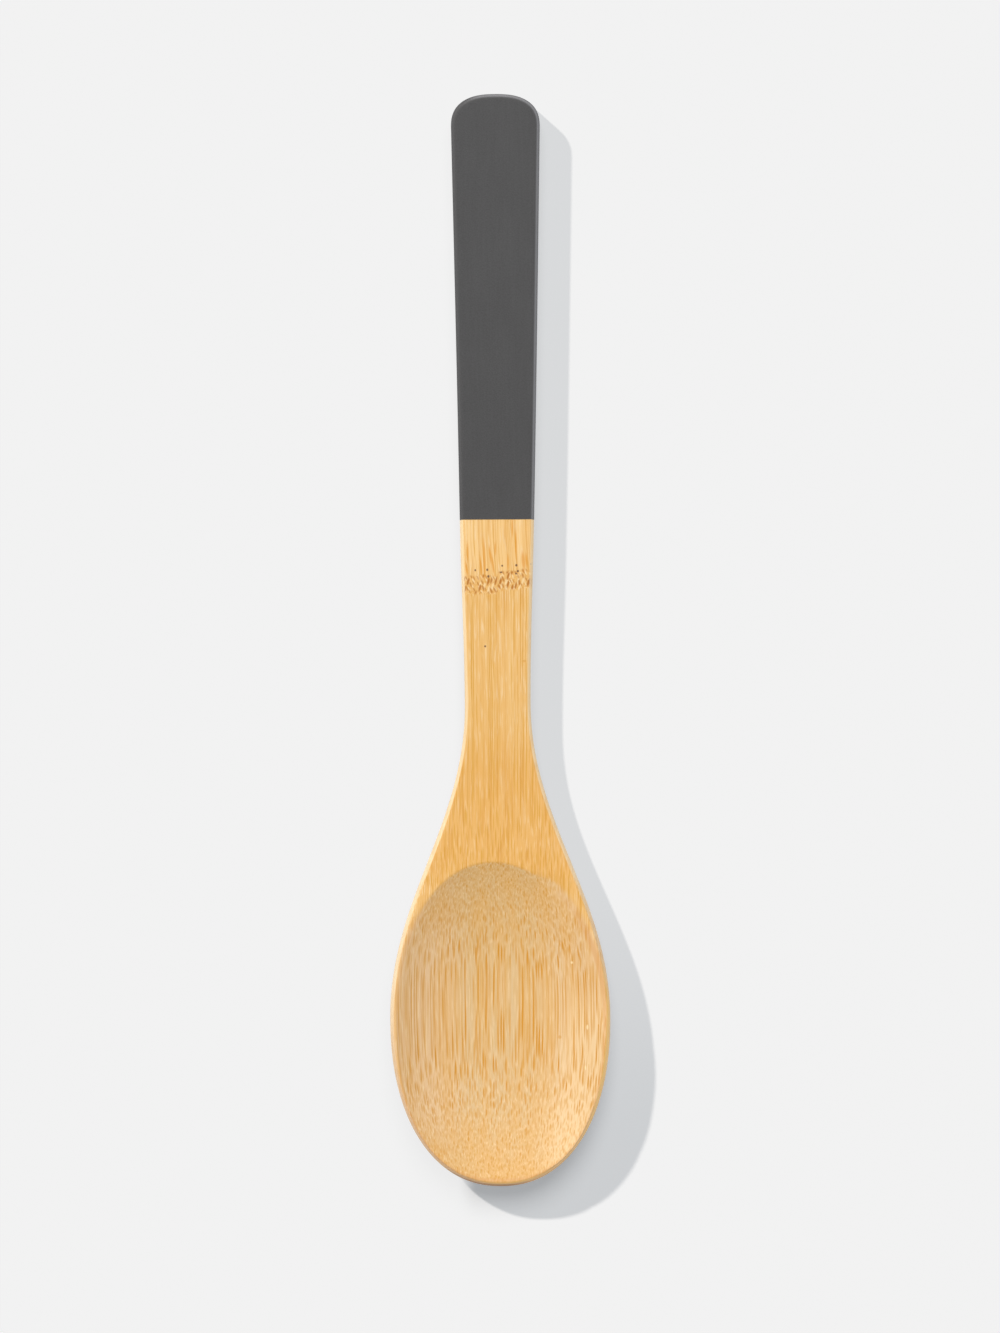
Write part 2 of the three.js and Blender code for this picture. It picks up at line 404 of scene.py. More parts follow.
def meshFrom(name, grids):
    mesh = bpy.data.meshes.new(name)
    places, faces, count = [], [], 0
    for points in grids:
        a, b = points.shape[:2]
        index = np.arange(a * b).reshape(a, b) + count
        corners = index[:-1, :-1], index[1:, :-1], index[1:, 1:], index[:-1, 1:]
        faces += np.stack(corners, -1).reshape(-1, 4).tolist()
        places.append(bowed(points.astype(float)).reshape(-1, 3) * mm)
        count += a * b
    mesh.from_pydata(np.concatenate(places).tolist(), [], faces)
    work = bmesh.new()
    work.from_mesh(mesh)
    bmesh.ops.remove_doubles(work, verts=work.verts, dist=fineness["weld"] * mm)
    bmesh.ops.dissolve_degenerate(work, edges=work.edges, dist=fineness["weld"] * mm / 4)
    bmesh.ops.recalc_face_normals(work, faces=work.faces)
    openEdges = sum(1 for e in work.edges if len(e.link_faces) != 2)
    work.to_mesh(mesh)
    work.free()
    mesh.polygons.foreach_set("use_smooth", np.ones(len(mesh.polygons), bool))
    mesh.set_sharp_from_angle(angle=math.radians(fineness["sharpFrom"]))
    print(name, len(mesh.polygons), "faces", openEdges, "open edges")
    return addObject(name, mesh)


# Where the coat of paint begins, and how thick it is
paintCoat = {
    "line": 33.0,
    "gap": 0.1,
    "thickness": 0.3,
}


def joined(parts):
    return np.concatenate([parts[0]] + [p[1:] for p in parts[1:]])


def buildBlank():
    bare = joined([
        stations(tipY, bowlY, fineness["bowlStep"]),
        stations(bowlY, fineness["gate"], fineness["bowlStep"]),
        stations(fineness["gate"], paintCoat["line"], fineness["handleStep"]),
    ])
    covered = joined([
        stations(paintCoat["line"], gripEndY, fineness["handleStep"]),
        stations(gripEndY, endY, fineness["endStep"]),
    ])
    run = np.concatenate([bare, covered])
    sunk = paintCoat["thickness"] + paintCoat["gap"]
    inset = np.where(np.arange(len(run)) < len(bare), 0.0, sunk)
    grids, _ = shell(run, inset)
    return meshFrom("bambooSpoon", grids)


def buildCoat():
    run = joined([
        stations(paintCoat["line"] + paintCoat["gap"], gripEndY, fineness["handleStep"]),
        stations(gripEndY, endY, fineness["endStep"]),
    ])
    outside, outerLoop = shell(run, np.zeros(len(run)))
    inside, innerLoop = shell(run, np.full(len(run), paintCoat["thickness"]))
    lip = np.stack([outerLoop, innerLoop])
    return meshFrom("paintedGrip", outside + inside + [lip])


blank = buildBlank()
coat = buildCoat()
print("shapes built")


def colour(red, green, blue):
    # a screen colour from 0 to 255 as the light it stands for
    part = [v / 255 for v in (red, green, blue)]
    return tuple(v / 12.92 if v <= 0.04045 else ((v + 0.055) / 1.055) ** 2.4 for v in part) + (1.0,)


def put(tree, kind, inputs=None, **settings):
    # adds a node, with its settings, and with a value or a link for each input
    node = tree.nodes.new("ShaderNode" + kind)
    for name, value in settings.items():
        setattr(node, name, value)
    for name, value in (inputs or {}).items():
        if isinstance(value, bpy.types.NodeSocket):
            tree.links.new(value, node.inputs[name])
        else:
            node.inputs[name].default_value = value
    return node


def calc(tree, operation, *values):
    return put(tree, "Math", dict(enumerate(values)), operation=operation).outputs[0]


def times(tree, *values):
    product = values[0]
    for value in values[1:]:
        product = calc(tree, "MULTIPLY", product, value)
    return product


def addShare(tree, value, share, base):
    return calc(tree, "MULTIPLY_ADD", value, share, base)


def turnVector(tree, operation, *values):
    return put(tree, "VectorMath", dict(enumerate(values)), operation=operation).outputs[0]


def scaleVector(tree, vector, size):
    return put(tree, "VectorMath", {0: vector, "Scale": size}, operation="SCALE").outputs[0]


def lengthOf(tree, vector):
    return put(tree, "VectorMath", {0: vector}, operation="LENGTH").outputs["Value"]


def split(tree, vector):
    return put(tree, "SeparateXYZ", {0: vector}).outputs


def between(tree, value, low, high, lowOut=0.0, highOut=1.0):
    # smooth change from one value to another while the input goes from low to high
    names = {"Value": value, "From Min": low, "From Max": high, "To Min": lowOut, "To Max": highOut}
    return put(tree, "MapRange", names, interpolation_type="SMOOTHSTEP").outputs[0]


def mixColour(tree, share, first, second):
    return put(tree, "Mix", {0: share, 6: first, 7: second}, data_type="RGBA").outputs[2]


def combine(tree, x, y, z):
    return put(tree, "CombineXYZ", {0: x, 1: y, 2: z}).outputs[0]


def newGroup(name, inputs, outputs):
    # each socket takes one number, or three if its name is in the list
    vectors = ("Vector", "Plain", "Place", "Size", "Normal")
    group = bpy.data.node_groups.new(name, "ShaderNodeTree")
    for way, titles in (("INPUT", inputs), ("OUTPUT", outputs)):
        for title in titles:
            kind = "NodeSocketVector" if title in vectors else "NodeSocketFloat"
            group.interface.new_socket(name=title, in_out=way, socket_type=kind)
    return group, group.nodes.new("NodeGroupInput").outputs


def give(group, values):
    finish = group.nodes.new("NodeGroupOutput")
    for title, value in values.items():
        group.links.new(value, finish.inputs[title])
    return group


def place(tree, group, inputs):
    return put(tree, "Group", inputs, node_tree=group)


def noiseShift(tree, plain, speed, reach, amount):
    # a wandering shift of places, between minus and plus half of the amount
    noise = put(tree, "TexNoise", {
        "Vector": turnVector(tree, "MULTIPLY", plain, speed), "Scale": 1.0, "Detail": 1.0,
    }).outputs["Color"]
    shift = turnVector(tree, "MULTIPLY", turnVector(tree, "SUBTRACT", noise, (0.5, 0.5, 0.5)), reach)
    return scaleVector(tree, shift, amount)


def looseCells(group, vector, stray):
    # one cell for each unit of a grid, and a tone that differs between the cells
    spots = {"Vector": vector, "Scale": 1.0, "Randomness": stray}
    cells = put(group, "TexVoronoi", spots, voronoi_dimensions="2D").outputs
    return cells, put(group, "SeparateColor", {0: cells["Color"]}).outputs[0]


def softMask(group, distance, size, softness):
    # 1 where the distance is under the size, with a soft border
    outer, inner = (calc(group, way, size, softness) for way in ("ADD", "SUBTRACT"))
    return between(group, distance, outer, inner)


# How the fibres wander, in millimetres: how fast along each axis, and which way
wander = {
    "swaySpeed": (0.05, 0.016, 0.06),
    "swayReach": (1.0, 0.0, 0.35),
    "waverSpeed": (0.7, 0.085, 0.7),
    "waverReach": (1.0, 0.0, 1.0),
    "rippleSpeed": 0.22,  # across the node's band
    "rippleHeight": 2.6,
    "nodeSlant": 0.1,
    "leanFrom": 14.0,  # above the node
    "dive": (2.0, -3.0),
}


def makeFibrePath():
    # straight fibre space in millimetres: fibres sway and waver, lean towards the node and dive at it
    group, given = newGroup(
        "fibrePath",
        ("Vector", "Sway", "Waver", "Lean", "Dive", "Node Height"),
        ("Vector", "Plain", "From Node"),
    )
    plain = scaleVector(group, given["Vector"], 1 / mm)
    sway = noiseShift(group, plain, wander["swaySpeed"], wander["swayReach"], given["Sway"])
    waver = noiseShift(group, plain, wander["waverSpeed"], wander["waverReach"], given["Waver"])
    place3 = split(group, plain)
    ripple = {"W": times(group, place3[0], wander["rippleSpeed"]), "Scale": 1.0}
    ripple = put(group, "TexNoise", ripple, noise_dimensions="1D").outputs[0]
    slant = times(group, place3[0], wander["nodeSlant"])
    ripple = calc(group, "SUBTRACT", ripple, 0.5)
    slant = addShare(group, ripple, wander["rippleHeight"], slant)
    fromNode = calc(group, "SUBTRACT", calc(group, "SUBTRACT", place3[1], given["Node Height"]), slant)
    lean = times(group, between(group, fromNode, wander["leanFrom"], 0.0), given["Lean"])
    dive = times(group, between(group, fromNode, *wander["dive"]), given["Dive"])
    path = turnVector(group, "ADD", turnVector(group, "ADD", plain, sway), waver)
    path = turnVector(group, "ADD", path, combine(group, times(group, lean, -1.0), 0.0, dive))
    return give(group, {"Vector": path, "Plain": plain, "From Node": fromNode})


def makeBundles():
    # fibre bundles: endless thin rods along Y, seen wherever a surface cuts them
    group, given = newGroup(
        "fibreBundles", ("Vector", "Width", "Depth", "Core", "Softness"), ("Mask", "Tone")
    )
    place3 = split(group, given["Vector"])
    across = calc(group, "DIVIDE", place3[0], given["Width"])
    down = calc(group, "DIVIDE", place3[2], given["Depth"])
    cells, tone = looseCells(group, combine(group, across, down, 0.0), 1.0)
    mask = softMask(group, cells["Distance"], given["Core"], given["Softness"])
    return give(group, {"Mask": mask, "Tone": tone})


def makeStreaks():
    # soft streaks along the fibres
    group, given = newGroup("fibreStreaks", ("Vector", "Width", "Length", "Depth", "Detail"), ("Value",))
    spacing = combine(group, given["Width"], given["Length"], given["Depth"])
    noise = put(group, "TexNoise", {
        "Vector": turnVector(group, "DIVIDE", given["Vector"], spacing), "Scale": 1.0,
        "Detail": given["Detail"], "Roughness": 0.55,
    })
    usual = (0.25, 0.75)  # the noise seldom leaves this range
    return give(group, {"Value": between(group, noise.outputs[0], *usual)})


# How much the dashes differ, by the tone of their cell
dashSpread = {
    "stray": 0.8,
    "otherWay": (0.6, 0.7, 1.0, -0.6),  # from this tone on they slant the other way
    "size": (0.0, 1.0, 0.6, 1.2),
}


def makeDashes():
    # rows of short slanted dashes on the top face, one in each cell of a loose grid
    group, given = newGroup(
        "dashRows",
        ("Vector", "Spacing", "Row", "Width", "Length", "Slant", "Softness"),
        ("Mask", "Tone"),
    )
    grid = combine(group, given["Spacing"], given["Row"], 1.0)
    spot = turnVector(group, "DIVIDE", given["Vector"], grid)
    cells, tone = looseCells(group, spot, dashSpread["stray"])
    middle = turnVector(group, "MULTIPLY", cells["Position"], grid)
    offset = split(group, turnVector(group, "SUBTRACT", given["Vector"], middle))
    slant = times(group, given["Slant"], between(group, tone, *dashSpread["otherWay"]))
    across = addShare(group, offset[1], slant, offset[0])
    across = calc(group, "DIVIDE", across, given["Width"])
    along = calc(group, "DIVIDE", offset[1], given["Length"])
    distance = lengthOf(group, combine(group, across, along, 0.0))
    distance = calc(group, "DIVIDE", distance, between(group, tone, *dashSpread["size"]))
    return give(group, {"Mask": softMask(group, distance, 1.0, given["Softness"]), "Tone": tone})


def makeSpot():
    # one small mark seen from above, such as a pore, a fleck or the dark end of a bundle
    group, given = newGroup("smallSpot", ("Vector", "Place", "Size", "Slant", "Softness"), ("Mask",))
    offset = turnVector(group, "SUBTRACT", given["Vector"], given["Place"])
    aside = times(group, split(group, offset)[1], given["Slant"])
    offset = turnVector(group, "ADD", offset, combine(group, aside, 0.0, 0.0))
    distance = lengthOf(group, turnVector(group, "DIVIDE", offset, given["Size"]))
    return give(group, {"Mask": softMask(group, distance, 1.0, given["Softness"])})


def makeEdges():
    # the rounded edges, where sanding and handling show: 1 on steep faces, 0 on level ones
    group, given = newGroup("roundedEdges", ("Normal", "Level", "Steep"), ("Mask",))
    z = calc(group, "ABSOLUTE", split(group, given["Normal"])[2])
    return give(group, {"Mask": between(group, z, given["Level"], given["Steep"])})


fibrePath = makeFibrePath()
fibreBundles = makeBundles()
fibreStreaks = makeStreaks()
dashRows = makeDashes()
smallSpot = makeSpot()
roundedEdges = makeEdges()


def newMaterial(name, piece):
    material = bpy.data.materials.new(name)
    material.use_nodes = True
    material.node_tree.nodes.clear()
    piece.data.materials.append(material)
    return material.node_tree


def finishShader(tree, base, roughness, height, look):
    bump = put(tree, "Bump", {"Height": height, **look["bump"]})
    shader = put(tree, "BsdfPrincipled", {
        "Base Color": base, "Roughness": roughness, "Normal": bump.outputs[0],
        "Specular IOR Level": look["specular"], "Sheen Weight": look["sheen"],
    })
    put(tree, "OutputMaterial", {"Surface": shader.outputs[0]})


# Bamboo: the bundles are fine and close near the top face, and coarser in the hollow
bamboo = {
    "deepGround": colour(231, 193, 143),
    "middleGround": colour(213, 181, 124),
    "leftGround": colour(239, 199, 150),
    "outerGround": colour(238, 192, 120),
    "warmGround": colour(230, 172, 86),
    # warmer tone at the tip, also laid as painted shade on the hollow's upper wall
    "tipToneAndUpperShade": colour(226, 178, 108),
    "upperGround": colour(248, 206, 139),
    "bundle": colour(211, 143, 22),
    "fineBundle": colour(214, 153, 34),
    # pale fibres, and the painted highlight on the hollow's right wall
    "paleFibreAndHighlight": colour(249, 217, 167),
    # pale edge wood, laid on the rounded edges both as wear and as a painted highlight
    "edge": colour(252, 225, 180),
    # worn rim wood at the tip and lower right, also painted light
    "tipEdgeWearAndLight": colour(255, 200, 96),
    # painted shade along the hollow's lower rim
    "rimShadeLine": colour(214, 150, 82),
    "nodeDark": colour(184, 112, 0),
    "bundleEnd": colour(222, 146, 4),
    "nodePale": colour(255, 228, 176),
    "pore": colour(84, 40, 3),
    "endGrain": colour(148, 92, 16),
    "roughness": {"ground": 0.47, "fine": 0.18, "silk": -0.08, "wornAndLitEdges": -0.1},
    "relief": {"coarse": -0.6, "fine": -0.5, "silk": 0.5, "dashes": -1.2},
    "bump": {"Strength": 0.35, "Distance": 0.00012},
    "specular": 0.5,
    "sheen": 0.15,
    # sizes of the figure, in millimetres
    "path": {"Sway": 2.2, "Lean": 0.5, "Dive": 2.4, "Node Height": 15.6},
    "coarse": {"Width": 0.74, "Depth": 0.58, "Core": 0.3, "Softness": 0.14},
    "fine": {"Width": 0.46, "Depth": 0.33, "Core": 0.33, "Softness": 0.13},
    "fineShift": (13.0, 7.0, 5.0),
    "silk": {"Width": 0.3, "Length": 6.0, "Depth": 0.3, "Detail": 1.5},
    "waxing": {"Width": 1.0, "Length": 24.0, "Depth": 1.0, "Detail": 1.0},
    "broad": {"Width": 3.6, "Length": 60.0, "Depth": 3.0, "Detail": 1.0},
    "dashes": {"Spacing": 1.1, "Row": 1.9, "Width": 0.29, "Length": 0.9, "Slant": 0.4, "Softness": 0.6},
    "flecks": {"Spacing": 1.2, "Row": 2.0, "Width": 0.3, "Length": 0.85, "Slant": 0.45, "Softness": 0.5},
    "fleckShift": (31.0, 17.2, 0.0),
    "dashTilt": 1.7,  # how far the dashes slant down the sides
    "nodeMiddle": 0.3,
    "markLevel": 10.0,
    "markDepth": 12.0,
    "roundedEdge": {"Level": 0.98, "Steep": 0.86},
    "outermostEdge": {"Level": 0.9, "Steep": 0.62},
    # how strongly each effect shows
    "shares": {
        "middle": 0.45, "shoulder": 0.7, "tip": 0.8, "upper": 0.4, "broad": 0.45, "pale": 0.52,
        "rightBundles": 1.35, "aboveNode": 0.7, "nodeBundles": 0.45, "shoulderBundles": 0.42,
        "nodeGround": 0.45, "rimShadeLine": 0.4, "leftLand": 0.2, "leftWearAndHighlight": (0.85, 0.95), "foreEdgeWearAndLight": 0.75,
        "cutEnds": 0.85,
    },
    # where each effect begins and is full, then the values there if they aren't 0 and 1
    "waver": (-0.075, -0.055, 0.12, 0.42),  # along the spoon, in metres
    "topFace": (0.35, 0.05),
    "bareHandle": (riseY - 30.0, riseY - 15.0),
    "upperHalf": (-0.1, 0.1),
    "aboveNode": (0.5, 3.0),
    "towardsNode": (-13.0, -3.5),
    "underNode": (1.0, -1.5),
    "onNode": (2.9, 2.1),
    "hollowMiddle": (0.7, 0.25),
    "leftSide": (-6.0, -22.0),
    "farLeft": (-12.0, -22.0, 1.0, 1.6),
    "rightSide": (6.0, 20.0),
    "shoulderTop": (-20.0, -38.0),
    "shoulderFoot": (-76.0, -62.0),
    "tipPart": (0.5, 0.95),
    "tipHalf": (0.0, -10.0),
    "upperPart": (0.35, 0.8),
    "upperWall": (2.0, 14.0),
    "insideRim": (1.0, 0.97),
    "hollowWall": (0.45, 0.8),
    "lowerWall": (10.0, -2.0),
    "paleSilk": (0.55, 0.95),
    "paleOutside": (0.0, 1.0, 0.4, 0.6),
    "paleShoulder": (0.0, 1.0, 1.0, 0.55),
    "bundlesOutside": (0.0, 1.0, 0.95, 0.35),
    "bundlesAlong": (0.25, 0.8, 1.0, 0.57),
    "bundlesAcross": (-26.0, 0.0),
    "leftUpper": (12.0, 0.0, 1.15, 0.9),
    "leftLower": (0.0, -12.0, 1.0, 1.35),
    "coarseTone": (0.0, 1.0, 0.35, 1.0),
    "coarseWaxing": (0.0, 1.0, 0.6, 1.0),
    "fineTone": (0.0, 1.0, 0.2, 1.0),
    "fineOutside": (0.0, 1.0, 0.5, 0.75),
    "fleckFacing": (0.2, 0.8, 0.15, 0.6),
    "dashTone": (0.0, 1.0, 0.6, 1.0),
    "dashFacing": (0.2, 0.8, 0.3, 1.0),
    "markFacing": (0.55, 0.9),
    "rimShadeInside": (0.975, 0.995),
    "rimShadeOutside": (1.05, 1.015),
    "rimShadeAlong": (-66.0, -82.0),
    "landOutside": (0.985, 1.0),
    "landLeft": (-18.0, -26.0),
    "landFoot": (-24.0, -12.0),
    "landTop": (30.0, 14.0),
    "nearTop": (3.0, 1.5),
    "outsideRim": (0.99, 1.01),
    "nearFoot": (2.2, 1.2),
    "handleFoot": (riseY - 20.0, riseY),
    "bowlwards": (50.0, 25.0),
    "leftWearTip": (10.0, -10.0, 1.0, 0.2),
    "rightWearAndHighlight": (-85.0, -60.0, 0.3, 0.72),
    "rightToLeft": (0.2, -0.3),
    "wearWaxing": (0.0, 1.0, 0.75, 1.1),
    "facingTip": (-0.15, -0.5),
    "lowerBowl": (20.0, 0.0),
    "facingRight": (-0.35, 0.1),
    "endsFacing": (-0.7, -0.95),
    "endsLeft": (0.4, 0.0),
    "endsDepth": (2.2, 2.8),
}

# Small marks: colour, strength and softness, then place across and along, half width and length, slant
marks = [
    ("bundleEnd", 0.75, 0.55, [
        (-8.3, 24.0, 0.24, 2.6, 0), (-8.5, 19.5, 0.3, 1.9, 0.15), (-4.6, 20.0, 0.28, 2.5, 0.08),
        (-3.7, 22.4, 0.32, 5.6, 0.035), (-2.1, 23.5, 0.24, 2.4, 0.1), (-1.3, 20.6, 0.26, 3.0, 0.14),
        (-0.7, 25.0, 0.2, 1.8, 0), (5.0, 26.2, 0.22, 3.8, 0), (4.1, 31.0, 0.2, 2.6, 0),
        (7.0, 21.7, 0.42, 2.5, 0.08), (7.9, 21.8, 0.26, 1.9, 0.08), (2.8, 21.3, 0.22, 2.1, 0),
    ]),
    ("pore", 0.9, 0.35, [
        (-6.2, 19.2, 0.22, 0.3, 0), (-2.9, 19.3, 0.28, 0.34, 0), (-2.6, 17.5, 0.3, 0.36, 0),
        (1.2, 20.4, 0.24, 0.28, 0), (0.9, 18.6, 0.3, 0.22, 0), (5.1, 20.5, 0.3, 0.34, 0),
        (5.5, 18.9, 0.3, 0.3, 0), (5.0, 18.2, 0.26, 0.24, 0), (9.1, 20.8, 0.2, 0.26, 0),
        (9.7, 19.0, 0.26, 0.24, 0), (-3.6, -1.7, 0.26, 0.28, 0),
    ]),
    ("nodePale", 0.8, 0.35, [
        (19.7, -88.7, 0.32, 0.36, 0), (23.9, -106.4, 0.25, 0.7, 0), (-29.3, -96.4, 0.5, 0.9, 0),
        (23.3, -117.5, 0.2, 0.6, 0),
    ]),
    ("bundle", 0.5, 0.35, [(16.3, -109.2, 0.5, 0.5, 0), (7.1, -5.8, 0.4, 0.35, 0)]),
]


def fade(tree, value, name, *ends):
    return between(tree, value, *bamboo[name], *ends)


def tint(tree, wood, name, *masks):
    # lays one of the bamboo's colours over the wood
    return mixColour(tree, times(tree, *masks), wood, bamboo[name])


def streaks(tree, vector, sizes):
    return place(tree, fibreStreaks, {"Vector": vector, **sizes}).outputs[0]


def measureWood(tree):
    # what the wood's colours go by: the fibres, the node, the top face, the hollow and the slope
    spot = put(tree, "TexCoord").outputs
    waver = fade(tree, split(tree, spot["Object"])[1], "waver")
    path = place(tree, fibrePath, {"Vector": spot["Object"], "Waver": waver, **bamboo["path"]}).outputs
    at = {"path": path["Vector"], "plain": path["Plain"], "fromNode": path["From Node"]}
    at["normal"] = spot["Normal"]
    at["x"], at["y"], at["z"] = split(tree, at["plain"])
    at["facing"] = split(tree, at["normal"])

    # how far a surface lies under the spoon's top face, which rises towards the bowl
    topLine = between(tree, at["y"], crestY, riseY, spoon["rimHeight"], spoon["handleThickness"])
    at["depth"] = calc(tree, "SUBTRACT", topLine, at["z"])
    outer = fade(tree, at["depth"], "topFace"), fade(tree, at["y"], "bareHandle")
    at["outer"] = calc(tree, "MAXIMUM", *outer)

    # 0 at the hollow's deepest place, 1 on its rim
    at["offset"] = calc(tree, "SUBTRACT", at["y"], bowlY)
    upper = fade(tree, at["offset"], "upperHalf")
    reach = between(tree, upper, 0.0, 1.0, spoon["bowlTip"] - spoon["tipLand"], spoon["hollowReach"])
    forward = calc(tree, "DIVIDE", at["offset"], reach)
    lean = calc(tree, "POWER", calc(tree, "MAXIMUM", forward, 0.0), 2.0)
    across = addShare(tree, lean, spoon["hollowLean"], at["x"])
    at["across"] = calc(tree, "ABSOLUTE", calc(tree, "DIVIDE", across, bowlHalf - spoon["sideLand"]))
    at["forward"] = calc(tree, "ABSOLUTE", forward)
    power = between(tree, upper, 0.0, 1.0, spoon["hollowTipPower"], spoon["hollowShoulderPower"])
    both = (calc(tree, "POWER", at[k], power) for k in ("across", "forward"))
    at["hollow"] = calc(tree, "POWER", calc(tree, "ADD", *both), calc(tree, "DIVIDE", 1.0, power))

    for kind in ("silk", "waxing", "broad"):
        at[kind] = streaks(tree, at["path"], bamboo[kind])
    at["aboveNode"] = fade(tree, at["fromNode"], "aboveNode")
    shoulder = fade(tree, at["y"], "shoulderTop"), fade(tree, at["y"], "shoulderFoot")
    at["shoulder"] = times(tree, *shoulder, at["outer"])
    return at


def woodGround(tree, at):
    # the wood between the bundles
    shares = bamboo["shares"]
    inMiddle = fade(tree, at["across"], "hollowMiddle")
    ground = tint(tree, bamboo["deepGround"], "middleGround", inMiddle, shares["middle"])
    ground = tint(tree, ground, "leftGround", fade(tree, at["x"], "leftSide"))
    ground = tint(tree, ground, "outerGround", at["outer"])
    ground = tint(tree, ground, "upperGround", at["aboveNode"])
    ground = tint(tree, ground, "warmGround", at["shoulder"], shares["shoulder"])
    atTip = fade(tree, at["forward"], "tipPart"), fade(tree, at["offset"], "tipHalf")
    ground = tint(tree, ground, "tipToneAndUpperShade", *atTip, shares["tip"])
    # painted shade: the hollow's upper wall, which faces away from the light, is laid darker
    shadedUpperWall = fade(tree, at["forward"], "upperPart"), fade(tree, at["offset"], "upperWall")
    insideRim = fade(tree, at["hollow"], "insideRim")
    ground = tint(tree, ground, "tipToneAndUpperShade", *shadedUpperWall, insideRim, shares["upper"])
    ground = tint(tree, ground, "warmGround", at["broad"], shares["broad"])
    # painted highlight: the hollow's right wall, which faces the light, is laid paler
    rightWallHighlight = fade(tree, at["x"], "rightSide"), fade(tree, at["hollow"], "hollowWall")
    lowerWall = fade(tree, at["offset"], "lowerWall")
    ground = tint(tree, ground, "paleFibreAndHighlight", *rightWallHighlight, lowerWall, shares["pale"])
    pale = fade(tree, at["silk"], "paleSilk"), fade(tree, at["outer"], "paleOutside")
    fewer = fade(tree, at["shoulder"], "paleShoulder"), fade(tree, at["x"], "farLeft")
    return tint(tree, ground, "paleFibreAndHighlight", *pale, *fewer)


def bundleMasks(tree, at):
    # how strongly the coarse and the fine bundles show at each place
    shares = bamboo["shares"]
    finePath = turnVector(tree, "ADD", at["path"], bamboo["fineShift"])
    coarse, fine = (
        place(tree, fibreBundles, {"Vector": path, **bamboo[k]}).outputs
        for path, k in ((at["path"], "coarse"), (finePath, "fine"))
    )
    strength = fade(tree, at["outer"], "bundlesOutside"), fade(tree, at["forward"], "bundlesAlong")
    onLeft = times(tree, fade(tree, at["offset"], "leftUpper"), fade(tree, at["offset"], "leftLower"))
    acrossIt = fade(tree, at["x"], "bundlesAcross", onLeft, shares["rightBundles"])
    strength = times(tree, *strength, acrossIt)
    belowNode = fade(tree, at["fromNode"], "towardsNode"), fade(tree, at["fromNode"], "underNode")
    nearNode = times(tree, at["aboveNode"], shares["aboveNode"])
    nearNode = calc(tree, "MAXIMUM", nearNode, times(tree, *belowNode))
    strength = addShare(tree, nearNode, shares["nodeBundles"], strength)
    strength = addShare(tree, at["shoulder"], shares["shoulderBundles"], strength)
    coarseShown = fade(tree, coarse["Tone"], "coarseTone"), fade(tree, at["waxing"], "coarseWaxing")
    fineShown = fade(tree, fine["Tone"], "fineTone"), fade(tree, at["outer"], "fineOutside")
    return times(tree, coarse["Mask"], *coarseShown, strength), times(tree, fine["Mask"], *fineShown)


def addNode(tree, at, wood):
    # two loose rows of short dark dashes, with pale flecks between them, faint on the sides
    away = calc(tree, "ABSOLUTE", calc(tree, "SUBTRACT", at["fromNode"], bamboo["nodeMiddle"]))
    onNode = fade(tree, away, "onNode")
    tilted = addShare(tree, at["z"], bamboo["dashTilt"], at["x"])
    dashPlace = combine(tree, tilted, at["fromNode"], 0.0)
    fleckPlace = turnVector(tree, "ADD", dashPlace, bamboo["fleckShift"])
    dashes = place(tree, dashRows, {"Vector": dashPlace, **bamboo["dashes"]}).outputs
    flecks = place(tree, dashRows, {"Vector": fleckPlace, **bamboo["flecks"]}).outputs
    wood = tint(tree, wood, "warmGround", onNode, bamboo["shares"]["nodeGround"])
    upward = fade(tree, at["facing"][2], "fleckFacing")
    wood = tint(tree, wood, "nodePale", flecks["Mask"], onNode, upward)
    dark = fade(tree, dashes["Tone"], "dashTone"), fade(tree, at["facing"][2], "dashFacing")
    wood = tint(tree, wood, "nodeDark", dashes["Mask"], onNode, *dark)
    return wood, times(tree, dashes["Mask"], onNode)


def addMarks(tree, at, wood):
    upward = fade(tree, at["facing"][2], "markFacing")
    for name, strength, softness, places in marks:
        for x, y, wide, long, slant in places:
            mask = place(tree, smallSpot, {
                "Vector": at["plain"], "Place": (x, y, bamboo["markLevel"]),
                "Size": (wide, long, bamboo["markDepth"]), "Slant": slant, "Softness": softness,
            }).outputs[0]
            wood = tint(tree, wood, name, mask, upward, strength)
    return wood


